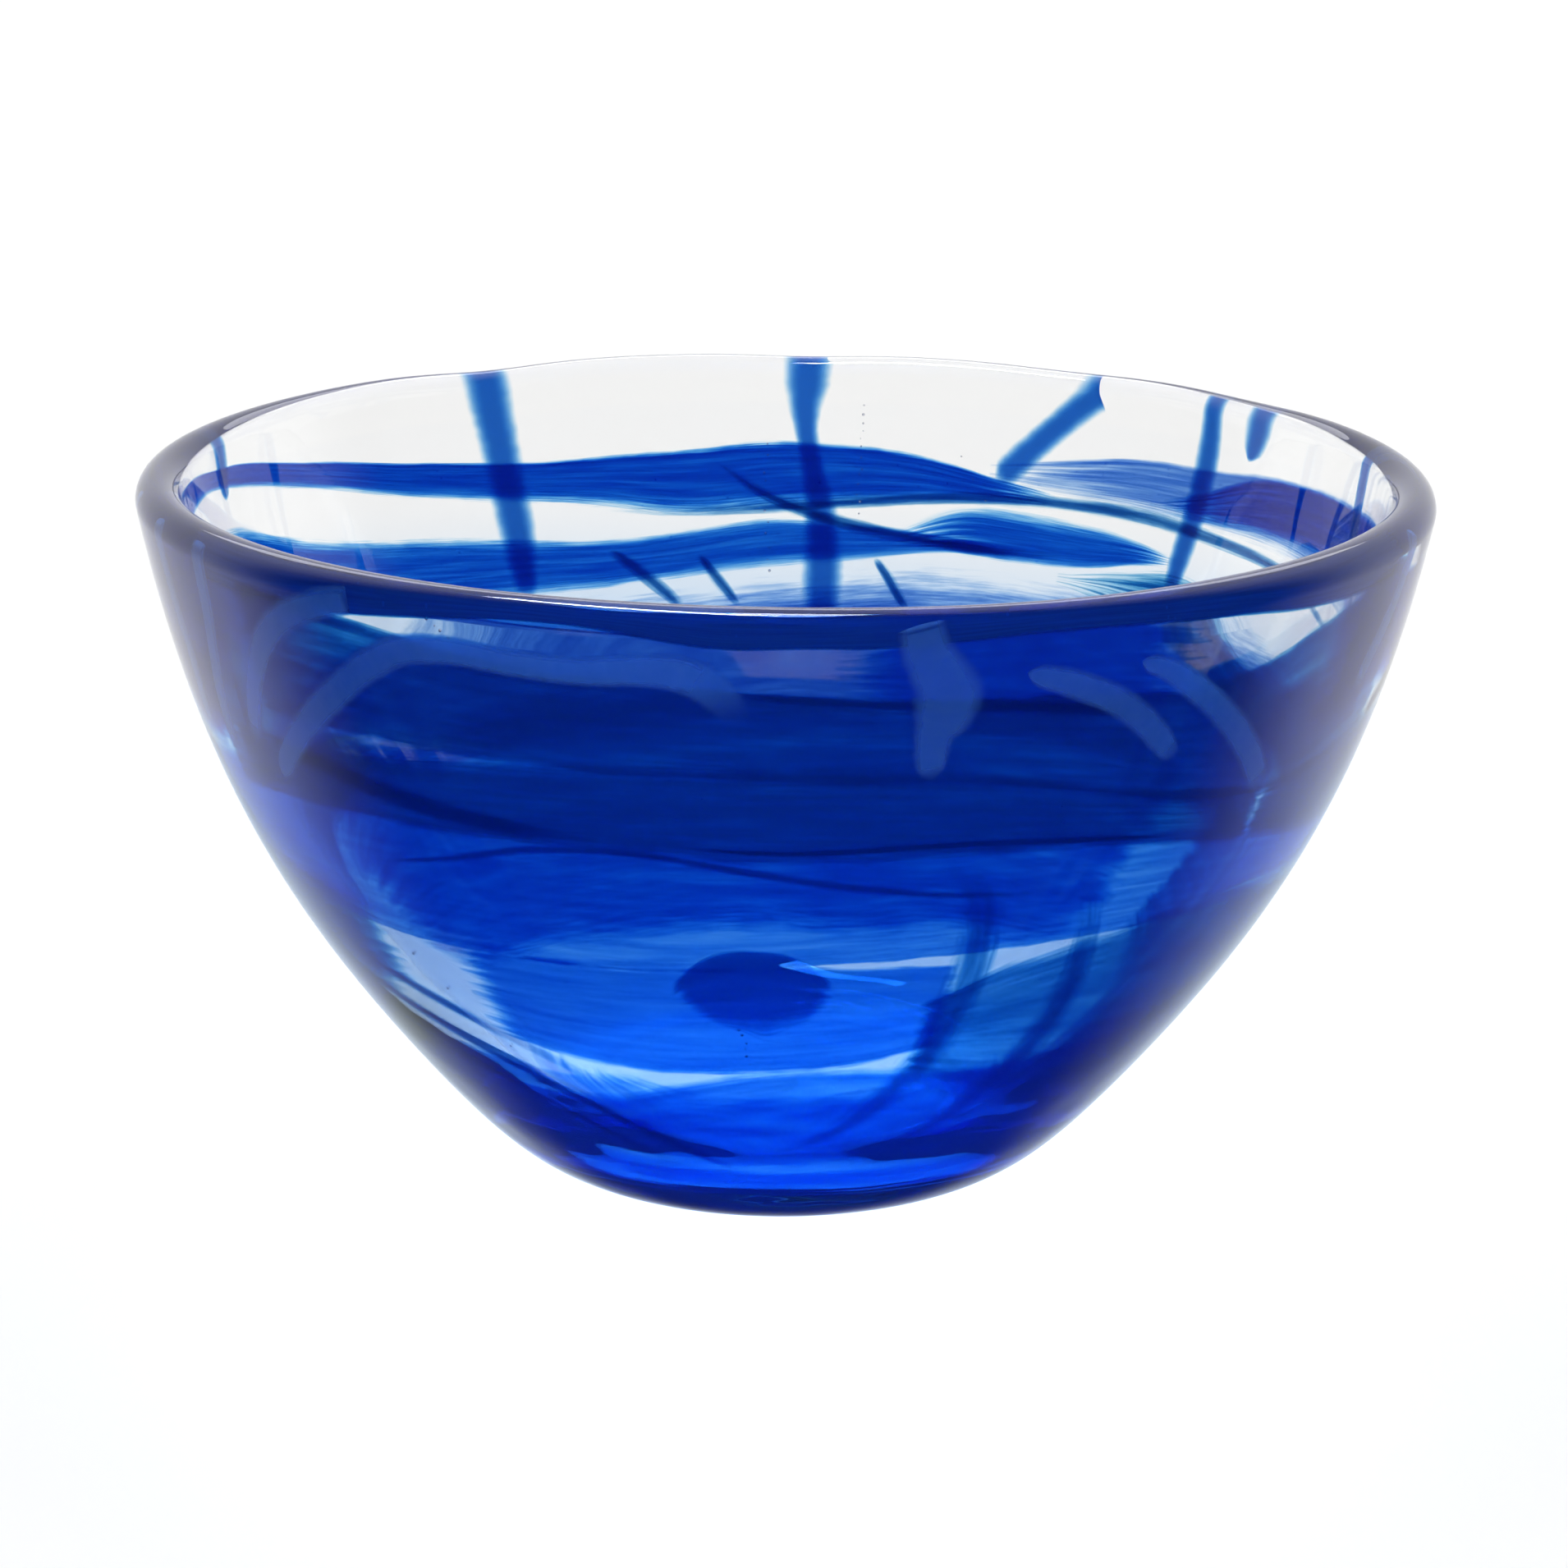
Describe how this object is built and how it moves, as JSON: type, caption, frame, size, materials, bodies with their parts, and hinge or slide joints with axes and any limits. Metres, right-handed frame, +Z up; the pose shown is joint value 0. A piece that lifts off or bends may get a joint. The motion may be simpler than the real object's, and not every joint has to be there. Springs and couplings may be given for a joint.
{
  "type": "art glass bowl",
  "caption": "Free-blown round bowl of thick clear glass with swirled blue ribbons inside the wall and soft blue drips below a rounded lip.",
  "frame": {"origin": "centre of the flat base, on the surface that the bowl stands on", "axes": "+Z up along the axis of the bowl, the decorated front faces -Y"},
  "size_m": [0.1598, 0.1598, 0.0891],
  "materials": {
    "clear_glass": "polished",
    "cobalt_ribbon": "polished",
    "pale_ribbon": "polished",
    "dark_trail": "polished",
    "opal_drip": "polished"
  },
  "bodies": {
    "root": {"outer_casing": "clear_glass", "inner_gather": "clear_glass", "upper_band": "cobalt_ribbon", "back_lower_band": "cobalt_ribbon", "right_fan": "cobalt_ribbon", "right_dark_lobe": "cobalt_ribbon", "right_side_band": "cobalt_ribbon", "back_deep_band": "cobalt_ribbon", "front_top_band": "cobalt_ribbon", "front_crest_band": "cobalt_ribbon", "front_dark_band": "cobalt_ribbon", "front_middle_band": "cobalt_ribbon", "left_lower_band": "cobalt_ribbon", "right_lower_band": "cobalt_ribbon", "front_bottom_band": "cobalt_ribbon", "base_swirl_front": "cobalt_ribbon", "base_swirl_back": "cobalt_ribbon", "right_pale_veil": "pale_ribbon", "back_low_veil": "pale_ribbon", "left_side_veil": "pale_ribbon", "right_window_veil": "pale_ribbon", "front_window_veil": "pale_ribbon", "back_cross_trail": "dark_trail", "back_dark_trail": "dark_trail", "back_stroke_left": "dark_trail", "back_stroke_middle": "dark_trail", "back_stroke_right": "dark_trail", "front_upper_trail": "dark_trail", "front_left_trail": "dark_trail", "front_lower_trail": "dark_trail", "front_arch_trail": "dark_trail", "right_swirl_inner": "dark_trail", "right_swirl_outer": "dark_trail", "lower_left_trail": "dark_trail", "lower_left_trail_fine": "dark_trail", "drip_front_garland": "opal_drip", "drip_front_right": "opal_drip", "drip_right_inner": "opal_drip", "drip_right_outer": "opal_drip", "drip_left_slant": "opal_drip", "drip_left_one": "opal_drip", "drip_left_two": "opal_drip", "drip_left_three": "opal_drip", "drip_back_small": "opal_drip", "drip_back_left": "opal_drip", "drip_back_centre": "opal_drip", "drip_back_slant": "opal_drip", "drip_back_faint": "opal_drip", "drip_back_short": "opal_drip", "drip_side_one": "opal_drip", "drip_side_two": "opal_drip"}
  },
  "joints": []
}
